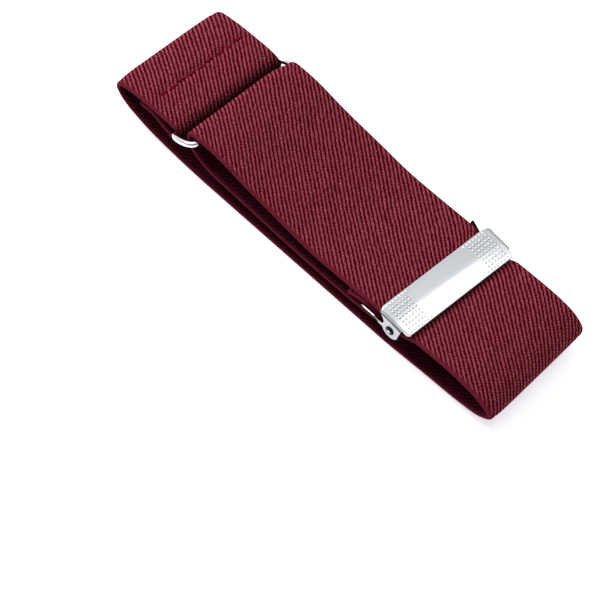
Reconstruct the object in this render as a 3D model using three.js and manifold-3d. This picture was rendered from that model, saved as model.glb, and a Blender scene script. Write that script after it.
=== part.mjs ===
// Shirt sleeve holder: an elastic arm band with a wire ring and a lever adjuster, lying flattened on a table.
// Millimetres, +Z up. X runs along the flattened loop, Y across the strap, and the table is z = 0.
import * as THREE from "three";
import { mergeVertices } from "three/addons/utils/BufferGeometryUtils.js";
import Module from "manifold-3d";

const wasm = await Module();
wasm.setup();

// Driving dimensions
const STRAP_WIDTH = 34.6;
const STRAP_THICKNESS = 1.5;
const STEPS_PER_ROW = 4;
const GAP = 0.3;
const REAR_BAR_GAP = 0.25;

const WIRE_RADIUS = 0.9;
const RING_LEFT_BAR = { x: -44.1, z: 10.0 };
const RING_RIGHT_BAR = { x: -37.1, z: 13.5 };
const RING_HALF_LENGTH = 18.35;
const RING_CORNER_RADIUS = 1.35;

const PIN = { x: 34.25, z: 9.9 };
const ADJUSTER_TILT = THREE.MathUtils.degToRad(7);
const ADJUSTER_TURN = THREE.MathUtils.degToRad(-1);
const FLAP_SHEET = 0.7;
const BASE_SHEET = 0.6;
const PIN_RADIUS = 1.0;
const EYELET_RADIUS = 1.35;

const FLAP_WIDTH = 10.4;
const FLAP_LENGTH = 36.4;
const FLAP_CORNER_RADIUS = 1.4;
const FLAP_TOP = 3.53;
const BEND_RADIUS = 0.9;
const CHEEK_TOP_WIDTH = 6.4;
const CHEEK_LOBE_RADIUS = 2.65;
const PRESS_EDGE = { from: -0.1, to: 0.6, tip: -0.9, length: 30 };

const FLOOR = { left: -5.0, right: 1.8, top: -3.2, halfLength: 15.5 };
const REAR_BAR = { left: -9.8, right: -7.9, top: -3.5 };
const WALL = { rearTop: -0.8, cornerLeft: -9.2, cornerTop: -0.5, front: -3.0, frontTop: -1.9 };
const WALL_LEAN = { slope: 0.25, fullFrom: -6.0 };
const NECK_HALF_WIDTH = 1.6;
const EAR_RADIUS = 2.0;

// Sizes worked out from them
const HALF_STRAP = STRAP_WIDTH / 2;
const HALF_THICKNESS = STRAP_THICKNESS / 2;
const WALL_INNER = HALF_STRAP + GAP;
const WALL_OUTER = WALL_INNER + BASE_SHEET;
const CHEEK_INNER = WALL_OUTER + GAP;
const CHEEK_OUTER = CHEEK_INNER + BASE_SHEET;
const RING_WRAP_RADIUS = WIRE_RADIUS + GAP + HALF_THICKNESS;
const REAR_BAR_MIDDLE = REAR_BAR.top - BASE_SHEET / 2;
const REAR_BAR_BOTTOM = REAR_BAR.top - BASE_SHEET;
const FLOOR_BOTTOM = FLOOR.top - BASE_SHEET;
const REAR_WRAP_RADIUS = BASE_SHEET / 2 + REAR_BAR_GAP + HALF_THICKNESS;

// Rows of the strap's middle line, in the order in which it runs
const TAIL = [
  { place: "cut end", x: -57.4, z: 9.95 },
  { place: "under the stitches", x: -52.0, z: 9.95 },
  { place: "dip to the ring", x: -47.6, z: 8.9 },
];
const LOOP = [
  { place: "upper left layer", x: -52.0, z: 11.95 },
  { place: "left shoulder", x: -59.0, z: 11.6 },
  { place: "left fold, upper", x: -64.3, z: 10.3 },
  { place: "left fold, end", x: -65.25, z: 8.5 },
  { place: "left fold, lower", x: -62.6, z: 5.8 },
  { place: "rise of the lower layer", x: -55.3, z: 3.35 },
  { place: "rise, middle", x: -44.0, z: 1.8 },
  { place: "touches the table", x: -33.0, z: HALF_THICKNESS },
  { place: "flat on the table", x: -20.0, z: HALF_THICKNESS },
  { place: "flat on the table", x: 18.0, z: HALF_THICKNESS },
  { place: "leaves the table", x: 31.0, z: HALF_THICKNESS },
  { place: "rise to the right", x: 45.5, z: 1.8 },
  { place: "before the right fold", x: 56.0, z: 2.5 },
  { place: "right fold, lower", x: 62.3, z: 3.85 },
  { place: "right fold, end", x: 65.25, z: 6.5 },
  { place: "right fold, upper", x: 62.3, z: 9.3 },
  { place: "right shoulder", x: 55.0, z: 10.9 },
  { place: "right of the adjuster", x: 44.0, z: 10.8 },
  { place: "adjuster, right edge", x: 40.6, z: 10.5 },
  { place: "right of the press", x: 36.4, z: 8.55 },
  { place: "pressed down", x: 34.2, z: 7.85 },
  { place: "left of the press", x: 32.0, z: 8.55 },
  { place: "adjuster, left edge", x: 28.2, z: 10.3 },
  { place: "over the rear bar", x: 24.2, z: 10.45 },
  { place: "left of the adjuster", x: 18.0, z: 10.3 },
  { place: "low middle", x: 4.0, z: 10.2 },
  { place: "rise to the ring", x: -6.0, z: 11.5 },
  { place: "rise, upper", x: -19.0, z: 13.3 },
  { place: "before the ring", x: -30.0, z: 15.35 },
];
const MIDDLE = [
  { place: "below the ring", x: -37.9, z: 9.9 },
  { place: "turn to the right", x: -33.0, z: 7.1 },
  { place: "middle layer", x: -20.0, z: 6.0 },
  { place: "middle layer, low", x: 0.0, z: 5.15 },
  { place: "before the rear bar", x: 17.0, z: 5.2 },
];
const SEWN_END = [
  { place: "over the stitches", x: 21.0, z: 8.1 },
  { place: "sewn end", x: 17.8, z: 7.2 },
];

function material(name, color, roughness, metalness) {
  return new THREE.MeshStandardMaterial({ name, color: new THREE.Color(...color), roughness, metalness });
}

const elastic = material("elastic", [0.33, 0.03, 0.07], 0.85, 0);
const chrome = material("chrome", [0.85, 0.86, 0.88], 0.12, 1);
const steel = material("steel", [0.7, 0.71, 0.73], 0.3, 1);
const brushed = material("brushed_steel", [0.78, 0.79, 0.8], 0.35, 1);

function mesh(name, geometry, look) {
  const made = new THREE.Mesh(geometry, look);
  made.name = name;
  return made;
}

// Points on an arc in the side view, from one angle to another in degrees
function arc(center, radius, fromDegrees, toDegrees, steps) {
  const points = [];
  for (let i = 0; i <= steps; i += 1) {
    const angle = THREE.MathUtils.degToRad(fromDegrees + ((toDegrees - fromDegrees) * i) / steps);
    points.push({ x: center.x + radius * Math.cos(angle), z: center.z + radius * Math.sin(angle) });
  }
  return points;
}

// A side-view point of the tilted adjuster, u along it and w up from the pin, in the part's frame
function fromAdjuster(u, w) {
  return {
    x: PIN.x + u * Math.cos(ADJUSTER_TILT) + w * Math.sin(ADJUSTER_TILT),
    z: PIN.z - u * Math.sin(ADJUSTER_TILT) + w * Math.cos(ADJUSTER_TILT),
  };
}

// The strap's turn round the adjuster's rear bar
function rearWrap() {
  const turn = { x: REAR_BAR.right, z: REAR_BAR_MIDDLE };
  const rows = arc(turn, REAR_WRAP_RADIUS, -90, 90, 4);
  rows.push({ x: REAR_BAR.left, z: turn.z + REAR_WRAP_RADIUS });
  return rows.map((row) => fromAdjuster(row.x, row.z));
}

// The whole middle line of the strap, never lower than half its thickness above the table
function strapLine() {
  const rows = [
    ...TAIL,
    ...arc(RING_LEFT_BAR, RING_WRAP_RADIUS, -108, 92, 5),
    ...LOOP,
    ...arc(RING_RIGHT_BAR, RING_WRAP_RADIUS, 86, 212, 4),
    ...MIDDLE,
    ...rearWrap(),
    ...SEWN_END,
  ];
  const path = new THREE.CatmullRomCurve3(
    rows.map((row) => new THREE.Vector3(row.x, 0, row.z)),
    false,
    "centripetal",
  );
  const points = path.getPoints(STEPS_PER_ROW * (rows.length - 1));
  return points.map((point) => new THREE.Vector2(point.x, Math.max(point.z, HALF_THICKNESS)));
}

// A flat strip along a side-view middle line, with a rectangle of four corners at each point of it
function strip(line, width, halfThickness) {
  const positions = [];
  const index = [];
  line.forEach((point, i) => {
    const before = line[Math.max(i - 1, 0)];
    const after = line[Math.min(i + 1, line.length - 1)];
    const along = after.clone().sub(before).normalize();
    for (const [side, y] of [[1, -1], [1, 1], [-1, 1], [-1, -1]]) {
      const out = side * halfThickness;
      positions.push(point.x - along.y * out, (y * width) / 2, point.y + along.x * out);
    }
  });
  for (let i = 0; i < line.length - 1; i += 1) {
    for (let j = 0; j < 4; j += 1) {
      const here = 4 * i + j;
      const beside = 4 * i + ((j + 1) % 4);
      index.push(here, here + 4, beside + 4, here, beside + 4, beside);
    }
  }
  const end = 4 * (line.length - 1);
  index.push(0, 1, 2, 0, 2, 3);
  index.push(end, end + 2, end + 1, end, end + 3, end + 2);
  const geometry = new THREE.BufferGeometry();
  geometry.setAttribute("position", new THREE.Float32BufferAttribute(positions, 3));
  geometry.setIndex(index);
  return geometry;
}

// A side-view outline carried across the strap's direction, centred on y = 0
function acrossY(shape, width, curveSegments = 12) {
  const geometry = new THREE.ExtrudeGeometry(shape, { depth: width, bevelEnabled: false, curveSegments });
  geometry.rotateX(Math.PI / 2);
  geometry.translate(0, width / 2, 0);
  return geometry;
}

// A closed round wire along a closed flat path of points in the XY plane
function closedWire(path, radius, sides) {
  const positions = [];
  const index = [];
  path.forEach((point, i) => {
    const before = path[(i + path.length - 1) % path.length];
    const after = path[(i + 1) % path.length];
    const along = after.clone().sub(before).normalize();
    for (let j = 0; j < sides; j += 1) {
      const angle = (2 * Math.PI * j) / sides;
      const out = radius * Math.cos(angle);
      positions.push(point.x + along.y * out, point.y - along.x * out, radius * Math.sin(angle));
    }
  });
  for (let i = 0; i < path.length; i += 1) {
    const next = (i + 1) % path.length;
    for (let j = 0; j < sides; j += 1) {
      const side = (j + 1) % sides;
      index.push(i * sides + j, next * sides + j, next * sides + side);
      index.push(i * sides + j, next * sides + side, i * sides + side);
    }
  }
  const geometry = new THREE.BufferGeometry();
  geometry.setAttribute("position", new THREE.Float32BufferAttribute(positions, 3));
  geometry.setIndex(index);
  return geometry;
}

function solid(geometry) {
  const bare = geometry.clone();
  bare.deleteAttribute("normal");
  bare.deleteAttribute("uv");
  const merged = mergeVertices(bare, 1e-4);
  return new wasm.Manifold(
    new wasm.Mesh({
      numProp: 3,
      vertProperties: merged.attributes.position.array,
      triVerts: new Uint32Array(merged.index.array),
    }),
  );
}

function geometryOf(made) {
  const result = made.getMesh();
  const geometry = new THREE.BufferGeometry();
  geometry.setAttribute("position", new THREE.BufferAttribute(result.vertProperties, 3));
  geometry.setIndex(new THREE.BufferAttribute(result.triVerts, 1));
  geometry.computeVertexNormals();
  return geometry;
}

// A box from its limits on each axis
function block(x, y, z) {
  const geometry = new THREE.BoxGeometry(x[1] - x[0], y[1] - y[0], z[1] - z[0]);
  geometry.translate((x[0] + x[1]) / 2, (y[0] + y[1]) / 2, (z[0] + z[1]) / 2);
  return solid(geometry);
}

// A side-view outline standing on one side of the part, between two distances from the middle plane
function sidePlate(shape, side, inner, outer) {
  const geometry = acrossY(shape, outer - inner);
  geometry.translate(0, (side * (inner + outer)) / 2, 0);
  return solid(geometry);
}

function roundedRectangle(width, length, radius) {
  const x = width / 2;
  const y = length / 2;
  const shape = new THREE.Shape();
  shape.moveTo(-x + radius, -y);
  shape.lineTo(x - radius, -y);
  shape.absarc(x - radius, -y + radius, radius, -Math.PI / 2, 0);
  shape.lineTo(x, y - radius);
  shape.absarc(x - radius, y - radius, radius, 0, Math.PI / 2);
  shape.lineTo(-x + radius, y);
  shape.absarc(-x + radius, y - radius, radius, Math.PI / 2, Math.PI);
  shape.lineTo(-x, -y + radius);
  shape.absarc(-x + radius, -y + radius, radius, Math.PI, 1.5 * Math.PI);
  return shape;
}

function elasticStrap() {
  return mesh("elastic_strap", strip(strapLine(), STRAP_WIDTH, HALF_THICKNESS), elastic);
}

function ovalRing() {
  const across = RING_RIGHT_BAR.x - RING_LEFT_BAR.x;
  const up = RING_RIGHT_BAR.z - RING_LEFT_BAR.z;
  const outline = roundedRectangle(Math.hypot(across, up), 2 * RING_HALF_LENGTH, RING_CORNER_RADIUS);
  const path = outline.getPoints(3).filter((point, i, all) => i === 0 || point.distanceTo(all[i - 1]) > 0.01);
  if (path[0].distanceTo(path[path.length - 1]) < 0.01) path.pop();
  const ring = new THREE.Group();
  ring.position.set(
    (RING_LEFT_BAR.x + RING_RIGHT_BAR.x) / 2,
    0,
    (RING_LEFT_BAR.z + RING_RIGHT_BAR.z) / 2,
  );
  ring.rotation.y = -Math.atan2(up, across);
  ring.add(mesh("oval_ring", closedWire(path, WIRE_RADIUS, 16), chrome));
  return ring;
}

// A side wall: low and leaning outwards behind, then the neck and the ear that carries the pin
function wallShape() {
  const neckAngle = Math.acos(NECK_HALF_WIDTH / EAR_RADIUS);
  const shape = new THREE.Shape();
  shape.moveTo(REAR_BAR.left, REAR_BAR_BOTTOM);
  shape.lineTo(REAR_BAR.right, REAR_BAR_BOTTOM);
  shape.lineTo(WALL_LEAN.fullFrom, FLOOR_BOTTOM);
  shape.lineTo(WALL.front, FLOOR_BOTTOM);
  shape.lineTo(NECK_HALF_WIDTH, FLOOR_BOTTOM);
  shape.absarc(0, 0, EAR_RADIUS, -neckAngle, Math.PI + neckAngle);
  shape.lineTo(WALL.front, WALL.frontTop);
  shape.lineTo(WALL.cornerLeft, WALL.cornerTop);
  shape.lineTo(REAR_BAR.left, WALL.rearTop);
  return shape;
}

function sideWall(side) {
  return sidePlate(wallShape(), side, WALL_INNER, WALL_OUTER).warp((point) => {
    const share = THREE.MathUtils.clamp((WALL.front - point[0]) / (WALL.front - WALL_LEAN.fullFrom), 0, 1);
    point[1] += side * share * WALL_LEAN.slope * (point[2] - REAR_BAR_BOTTOM);
  });
}

function pin(side) {
  const length = CHEEK_OUTER - WALL_OUTER + BASE_SHEET / 2;
  const geometry = new THREE.CylinderGeometry(PIN_RADIUS, PIN_RADIUS, length, 24);
  geometry.translate(0, side * (CHEEK_OUTER - length / 2), 0);
  return solid(geometry);
}

function adjusterBase() {
  const barHeight = [REAR_BAR_BOTTOM, REAR_BAR.top];
  const floorHeight = [FLOOR_BOTTOM, FLOOR.top];
  let made = block([REAR_BAR.left, REAR_BAR.right], [-WALL_OUTER, WALL_OUTER], barHeight);
  made = made.add(block([FLOOR.left, FLOOR.right], [-FLOOR.halfLength, FLOOR.halfLength], floorHeight));
  made = made.add(block([-NECK_HALF_WIDTH, NECK_HALF_WIDTH], [-WALL_OUTER, WALL_OUTER], floorHeight));
  for (const side of [-1, 1]) {
    made = made.add(sideWall(side));
    made = made.add(pin(side));
  }
  return mesh("adjuster_base", geometryOf(made), steel);
}

// The cheek's tab and its round lobe, with the eyelet
function cheekShape() {
  const half = CHEEK_TOP_WIDTH / 2;
  const tangent = THREE.MathUtils.degToRad(187);
  const shape = new THREE.Shape();
  shape.moveTo(half, FLAP_TOP - BEND_RADIUS);
  shape.lineTo(-half, FLAP_TOP - BEND_RADIUS);
  shape.absarc(0, 0, CHEEK_LOBE_RADIUS, tangent, 3 * Math.PI - tangent);
  const eyelet = new THREE.Path();
  eyelet.absarc(0, 0, EYELET_RADIUS, 0, 2 * Math.PI, true);
  shape.holes.push(eyelet);
  return shape;
}

// The bend from the plate down to a cheek, as a quarter ring in the end view
function cheekBend(side) {
  const shape = new THREE.Shape();
  const inner = BEND_RADIUS - BASE_SHEET;
  shape.moveTo(0, BEND_RADIUS);
  shape.lineTo(-1, BEND_RADIUS);
  shape.lineTo(-1, BEND_RADIUS - FLAP_SHEET);
  shape.lineTo(0, BEND_RADIUS - FLAP_SHEET);
  shape.absarc(0, 0, inner, Math.PI / 2, 0, true);
  shape.lineTo(BEND_RADIUS, 0);
  shape.absarc(0, 0, BEND_RADIUS, 0, Math.PI / 2);
  const geometry = new THREE.ExtrudeGeometry(shape, {
    depth: CHEEK_TOP_WIDTH,
    bevelEnabled: false,
    curveSegments: 8,
  });
  geometry.translate(CHEEK_OUTER - BEND_RADIUS, FLAP_TOP - BEND_RADIUS, -CHEEK_TOP_WIDTH / 2);
  geometry.rotateX(Math.PI / 2);
  geometry.rotateZ((side * Math.PI) / 2);
  return solid(geometry);
}

function adjusterFlap() {
  const plate = new THREE.ExtrudeGeometry(roundedRectangle(FLAP_WIDTH, FLAP_LENGTH, FLAP_CORNER_RADIUS), {
    depth: FLAP_SHEET,
    bevelEnabled: false,
    curveSegments: 6,
  });
  plate.translate(0, 0, FLAP_TOP - FLAP_SHEET);
  let made = solid(plate);
  for (const side of [-1, 1]) {
    made = made.add(cheekBend(side));
    made = made.add(sidePlate(cheekShape(), side, CHEEK_INNER, CHEEK_OUTER));
  }
  made = made.add(
    block(
      [PRESS_EDGE.from, PRESS_EDGE.to],
      [-PRESS_EDGE.length / 2, PRESS_EDGE.length / 2],
      [PRESS_EDGE.tip, FLAP_TOP - FLAP_SHEET / 2],
    ),
  );
  return mesh("adjuster_flap", geometryOf(made), brushed);
}

function adjuster() {
  const tilted = new THREE.Group();
  tilted.rotation.y = ADJUSTER_TILT;
  tilted.add(adjusterBase(), adjusterFlap());
  const turned = new THREE.Group();
  turned.position.set(PIN.x, 0, PIN.z);
  turned.rotation.z = ADJUSTER_TURN;
  turned.add(tilted);
  return turned;
}

const sleeveHolder = new THREE.Group();
sleeveHolder.add(elasticStrap(), ovalRing(), adjuster());

export default sleeveHolder;
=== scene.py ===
# %% [markdown]
# # An elastic arm band with a lever adjuster
# The band is one long strip of ribbed elastic webbing. A wire ring links its two turns, and a small
# sheet-metal lever clamps it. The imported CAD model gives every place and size, and this script adds what
# makes it look real.

# %% Load the frame
import math

import bmesh
import bpy
from mathutils import Matrix, Vector


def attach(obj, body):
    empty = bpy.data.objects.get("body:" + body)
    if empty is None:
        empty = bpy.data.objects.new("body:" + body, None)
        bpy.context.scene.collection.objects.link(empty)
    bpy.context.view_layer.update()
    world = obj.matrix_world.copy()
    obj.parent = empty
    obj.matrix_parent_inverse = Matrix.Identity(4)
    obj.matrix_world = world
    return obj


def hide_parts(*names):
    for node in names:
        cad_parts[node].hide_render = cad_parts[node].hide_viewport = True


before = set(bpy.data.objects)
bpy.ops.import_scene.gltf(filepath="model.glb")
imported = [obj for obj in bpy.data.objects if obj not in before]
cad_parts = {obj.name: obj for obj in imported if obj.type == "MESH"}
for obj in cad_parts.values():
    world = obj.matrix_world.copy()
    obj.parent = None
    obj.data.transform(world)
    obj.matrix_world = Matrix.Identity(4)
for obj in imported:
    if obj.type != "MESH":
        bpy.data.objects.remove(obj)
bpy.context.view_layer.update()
MM = 0.001

# %% [markdown]
# ## The camera
# A camera can be placed by the point it looks at, its compass angle, its height angle and its distance. The
# photograph was taken with a long lens from far away and held a little crooked, which is the roll.

# %% Camera
LOOK_AT = Vector((10.504, -26.526, 5.0)) * MM
CAMERA_AZIMUTH = math.radians(-48.723)
CAMERA_ELEVATION = math.radians(56.147)
CAMERA_ROLL = math.radians(5.455)
CAMERA_DISTANCE = 737.2 * MM
FOCAL_PIXELS = 3000
IMAGE_PIXELS = 599
SENSOR_MM = 36

towards = Vector((
    math.cos(CAMERA_ELEVATION) * math.cos(CAMERA_AZIMUTH),
    math.cos(CAMERA_ELEVATION) * math.sin(CAMERA_AZIMUTH),
    math.sin(CAMERA_ELEVATION),
))
level_right = Vector((0, 0, 1)).cross(towards).normalized()
level_up = towards.cross(level_right)
right = math.cos(CAMERA_ROLL) * level_right + math.sin(CAMERA_ROLL) * level_up
up = math.cos(CAMERA_ROLL) * level_up - math.sin(CAMERA_ROLL) * level_right

camera_data = bpy.data.cameras.new("photo_camera")
camera_data.sensor_width = SENSOR_MM
camera_data.lens = SENSOR_MM * FOCAL_PIXELS / IMAGE_PIXELS
camera_data.clip_start = 0.01
camera_data.clip_end = 20
camera = bpy.data.objects.new("photo_camera", camera_data)
bpy.context.scene.collection.objects.link(camera)
placed = Matrix((right, up, towards)).transposed().to_4x4()
placed.translation = LOOK_AT + CAMERA_DISTANCE * towards
camera.matrix_world = placed
bpy.context.scene.camera = camera
print("lens", round(camera_data.lens, 1), "mm")

# %% [markdown]
# ## Small helpers
# An operator acts on whatever is selected, so each step starts by selecting one object only. A finished
# piece keeps its place in its mesh and rides on its body.

# %% Selecting, copying and finishing


def only(piece):
    """Selects this piece alone and makes it active."""
    bpy.ops.object.select_all(action="DESELECT")
    piece.select_set(True)
    bpy.context.view_layer.objects.active = piece
    return piece


def named(name):
    """Names the active piece and its mesh."""
    piece = bpy.context.active_object
    piece.name = name
    piece.data.name = name
    return piece


def copy_of(piece, name):
    """A copy with its own mesh."""
    twin = piece.copy()
    twin.data = piece.data.copy()
    twin.name = name
    bpy.context.scene.collection.objects.link(twin)
    return twin


def joined(pieces, name):
    """Makes one piece of many."""
    bpy.context.view_layer.update()
    bpy.ops.object.select_all(action="DESELECT")
    for piece in pieces:
        piece.select_set(True)
    bpy.context.view_layer.objects.active = pieces[0]
    bpy.ops.object.join()
    return named(name)


def apply_modifiers(piece):
    only(piece)
    for modifier in list(piece.modifiers):
        bpy.ops.object.modifier_apply(modifier=modifier.name)


def settle(piece, matrix=None):
    """Moves the piece's place into its mesh, so that its object sits at the origin."""
    if matrix is not None:
        piece.matrix_world = matrix @ piece.matrix_basis
    only(piece)
    bpy.ops.object.transform_apply(location=True, rotation=True, scale=True)
    return piece


def smooth(piece, degrees=35):
    only(piece)
    bpy.ops.object.shade_smooth_by_angle(angle=math.radians(degrees))


def paint(piece, *materials):
    piece.data.materials.clear()
    for material in materials:
        piece.data.materials.append(material)


def finish_piece(piece, body):
    """Lets the piece ride on its body."""
    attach(piece, body)
    triangles = sum(len(face.vertices) - 2 for face in piece.data.polygons)
    print(piece.name, triangles, "triangles")


# %% [markdown]
# ## Shader helpers
# A procedural material is a small sum worked out at every point of the surface. These helpers add one step
# of such a sum at a time, so that the recipes below read from top to bottom.

# %% Steps with numbers


def put(tree, value, socket):
    """Feeds a socket with another node's output, or with a plain value."""
    if isinstance(value, bpy.types.NodeSocket):
        tree.links.new(value, socket)
    elif value is not None:
        socket.default_value = value


def math_step(tree, operation, a, b=None, c=None):
    step = tree.nodes.new("ShaderNodeMath")
    step.operation = operation
    for socket, value in zip(step.inputs, (a, b, c)):
        put(tree, value, socket)
    return step.outputs[0]


def times(tree, a, b, plus=0.0):
    """a times b, with something added."""
    return math_step(tree, "MULTIPLY_ADD", a, b, plus)


def minus(tree, a, b):
    return math_step(tree, "SUBTRACT", a, b)


def wave(tree, place, length):
    """A wave between -1 and 1 that repeats after a length."""
    return math_step(tree, "SINE", math_step(tree, "DIVIDE", place, length / math.tau))


def ease(tree, value, low, high):
    """0 below low, 1 above high, and a soft step between them."""
    step = tree.nodes.new("ShaderNodeMapRange")
    step.interpolation_type = "SMOOTHSTEP"
    put(tree, value, step.inputs["Value"])
    put(tree, low, step.inputs["From Min"])
    put(tree, high, step.inputs["From Max"])
    return step.outputs["Result"]


def noise(tree, place, scale, detail=2.0, roughness=0.5):
    """Soft random spots, about 0.5 on average."""
    step = tree.nodes.new("ShaderNodeTexNoise")
    put(tree, place, step.inputs["Vector"])
    step.inputs["Scale"].default_value = scale
    step.inputs["Detail"].default_value = detail
    step.inputs["Roughness"].default_value = roughness
    return step.outputs["Fac"]


# %% Steps with places and colours


def split(tree, vector):
    step = tree.nodes.new("ShaderNodeSeparateXYZ")
    put(tree, vector, step.inputs[0])
    return step.outputs


def flat_place(tree, x, y):
    step = tree.nodes.new("ShaderNodeCombineXYZ")
    put(tree, x, step.inputs[0])
    put(tree, y, step.inputs[1])
    return step.outputs[0]


def vector_step(tree, operation, a, b=None):
    step = tree.nodes.new("ShaderNodeVectorMath")
    step.operation = operation
    put(tree, a, step.inputs[0])
    put(tree, b, step.inputs[1])
    return step.outputs["Value" if operation in ("DOT_PRODUCT", "LENGTH") else "Vector"]


def mix_colour(tree, share, a, b, blend="MIX"):
    step = tree.nodes.new("ShaderNodeMix")
    step.data_type = "RGBA"
    step.blend_type = blend
    put(tree, share, step.inputs[0])
    put(tree, a, step.inputs[6])
    put(tree, b, step.inputs[7])
    return step.outputs[2]


def shaded(tree, colour, tone):
    """A colour made darker or lighter by a number."""
    grey = tree.nodes.new("ShaderNodeCombineColor")
    for socket in grey.inputs:
        put(tree, tone, socket)
    return mix_colour(tree, 1.0, colour, grey.outputs[0], "MULTIPLY")


# %% Groups and materials
FLOAT, VECTOR, COLOUR = "NodeSocketFloat", "NodeSocketVector", "NodeSocketColor"


def new_group(name, inputs, outputs):
    """An empty node group: inputs as (name, kind, default), outputs as (name, kind)."""
    group = bpy.data.node_groups.new(name, "ShaderNodeTree")
    for label, kind, default in inputs:
        socket = group.interface.new_socket(name=label, in_out="INPUT", socket_type=kind)
        if default is not None:
            socket.default_value = default
    for label, kind in outputs:
        group.interface.new_socket(name=label, in_out="OUTPUT", socket_type=kind)
    start = group.nodes.new("NodeGroupInput")
    end = group.nodes.new("NodeGroupOutput")
    return group, start.outputs, end.inputs


def use_group(tree, group, **values):
    node = tree.nodes.new("ShaderNodeGroup")
    node.node_tree = group
    for label, value in values.items():
        put(tree, value, node.inputs[label])
    return node.outputs


def new_material(name, **constants):
    """A material with a Principled BSDF, whose unchanging values sit on its own sockets."""
    material = bpy.data.materials.new(name)
    material.use_nodes = True
    tree = material.node_tree
    shader = tree.nodes["Principled BSDF"]
    for label, value in constants.items():
        shader.inputs[label.replace("_", " ")].default_value = value
    return material, tree, shader


def bump(tree, shader, height, distance):
    step = tree.nodes.new("ShaderNodeBump")
    step.inputs["Strength"].default_value = 1.0
    step.inputs["Distance"].default_value = distance
    put(tree, height, step.inputs["Height"])
    tree.links.new(step.outputs["Normal"], shader.inputs["Normal"])


def object_place(tree):
    return tree.nodes.new("ShaderNodeTexCoord").outputs["Object"]


# %% [markdown]
# ## The webbing's finish
# The webbing is a twill: fat slanted ribs with dark grooves between them, each rib made of short yarn
# floats, and a plain woven edge on both sides. An image of cloth would repeat and blur, so the weave is
# worked out instead. The pattern is drawn on the strip's own map, where one unit is a centimetre along the
# strip and across it, so the ribs follow every turn of the strap.

# %% Slanted ribs of yarn floats
RIB_PITCH_CM = 0.1003
RIB_ALONG = (0.826, 0.5635)
FLOAT_CM = 0.066
WANDER_SCALE, WANDER_RIBS = 1.6, 0.5
WOBBLE_SCALE, WOBBLE_RIBS = 11.0, 0.55
TONE_PER_RIB, TONE_PER_CM = 2.7, 3.2
TONE_SHIFTS_YARN = 2.5
FUZZ_ON_RIDGE = 0.8
RIDGE_LIGHT = (0.8, 1.5)
YARN_LIGHT = (0.55, 0.4)
TONE_LIGHT = (1.1, 0.55)
RIDGE_ROUNDNESS = 0.7
YARN_HEIGHT = (0.16, 0.84)


def rib_pattern(group, given, along, across, fuzz):
    """The colour, the height and the share of light of the ribs."""
    # slanted co-ordinates: one counts the ribs, the other runs along them
    over = minus(group, times(group, along, RIB_ALONG[1]), times(group, across, RIB_ALONG[0]))
    rib_run = times(group, along, RIB_ALONG[0], times(group, across, RIB_ALONG[1]))
    rib_count = math_step(group, "DIVIDE", over, RIB_PITCH_CM)
    rib_count = times(group, noise(group, given["Map"], WANDER_SCALE), WANDER_RIBS, rib_count)
    rib_count = times(group, noise(group, given["Map"], WOBBLE_SCALE, 1.0), WOBBLE_RIBS, rib_count)
    number = math_step(group, "FLOOR", rib_count)
    within = math_step(group, "FRACT", rib_count)
    ridge = math_step(group, "SINE", times(group, within, math.pi))
    # each rib has its own tone, which also shifts its yarns
    rib_place = flat_place(group, times(group, number, TONE_PER_RIB), times(group, rib_run, TONE_PER_CM))
    own_tone = noise(group, rib_place, 1.0)
    float_count = times(group, own_tone, TONE_SHIFTS_YARN, math_step(group, "DIVIDE", rib_run, FLOAT_CM))
    yarn = times(group, math_step(group, "COSINE", times(group, float_count, math.tau)), 0.5, 0.5)
    # lighter on the ridges and yarn crests and dark in the grooves: partly the yarn's own colour, partly
    # painted shade, since the bump casts none
    light = ease(group, times(group, fuzz, FUZZ_ON_RIDGE, ridge), *RIDGE_LIGHT)
    light = times(group, light, times(group, yarn, *YARN_LIGHT))
    light = times(group, light, times(group, own_tone, *TONE_LIGHT))
    rounded = math_step(group, "POWER", ridge, RIDGE_ROUNDNESS)
    height = times(group, rounded, times(group, yarn, *YARN_HEIGHT))
    return mix_colour(group, light, given["Groove"], given["Rib"]), height, light


# %% Plain woven edge
SELVEDGE_FROM_CM, SELVEDGE_FULL_CM = 1.69, 1.76
SELVEDGE_SHIFT_CM = 0.02
SELVEDGE_RAGGED_CM = 0.08
SELVEDGE_CORD_CM = 0.058
SELVEDGE_PICK_CM = 0.07
EDGE_WEAVE = (0.22, 0.25)
EDGE_FUZZ = 0.9
EDGE_TONE = (1.1, 0.25)


def edge_pattern(group, given, along, off_middle, fuzz):
    """The colour and the height of lengthwise cords crossed by fine picks."""
    cord = wave(group, off_middle, SELVEDGE_CORD_CM)
    pick = wave(group, along, SELVEDGE_PICK_CM)
    weave = times(group, fuzz, EDGE_FUZZ, times(group, times(group, cord, pick), *EDGE_WEAVE))
    return shaded(group, given["Edge"], times(group, weave, *EDGE_TONE)), weave


# %% The whole webbing as one node group
FUZZ_SCALE, FUZZ_DETAIL, FUZZ_ROUGHNESS = 34.0, 3.0, 0.75
FUZZ_HEIGHT = 0.1
PATCH_SCALE = 9.0
PATCH_TONE = (0.24, 0.88)
# where along the strip the painted shade in the valley beside the ring lies, and how dark it is
VALLEY_SHADE_FROM_CM, VALLEY_SHADE_TO_CM = (1.2, 1.3), (1.74, 2.16)
VALLEY_SHADE_RAGGED_CM = 0.06
VALLEY_SHADE_DARKER = 0.85
WEBBING_ROUGHNESS = (-0.12, 0.86)


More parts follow.
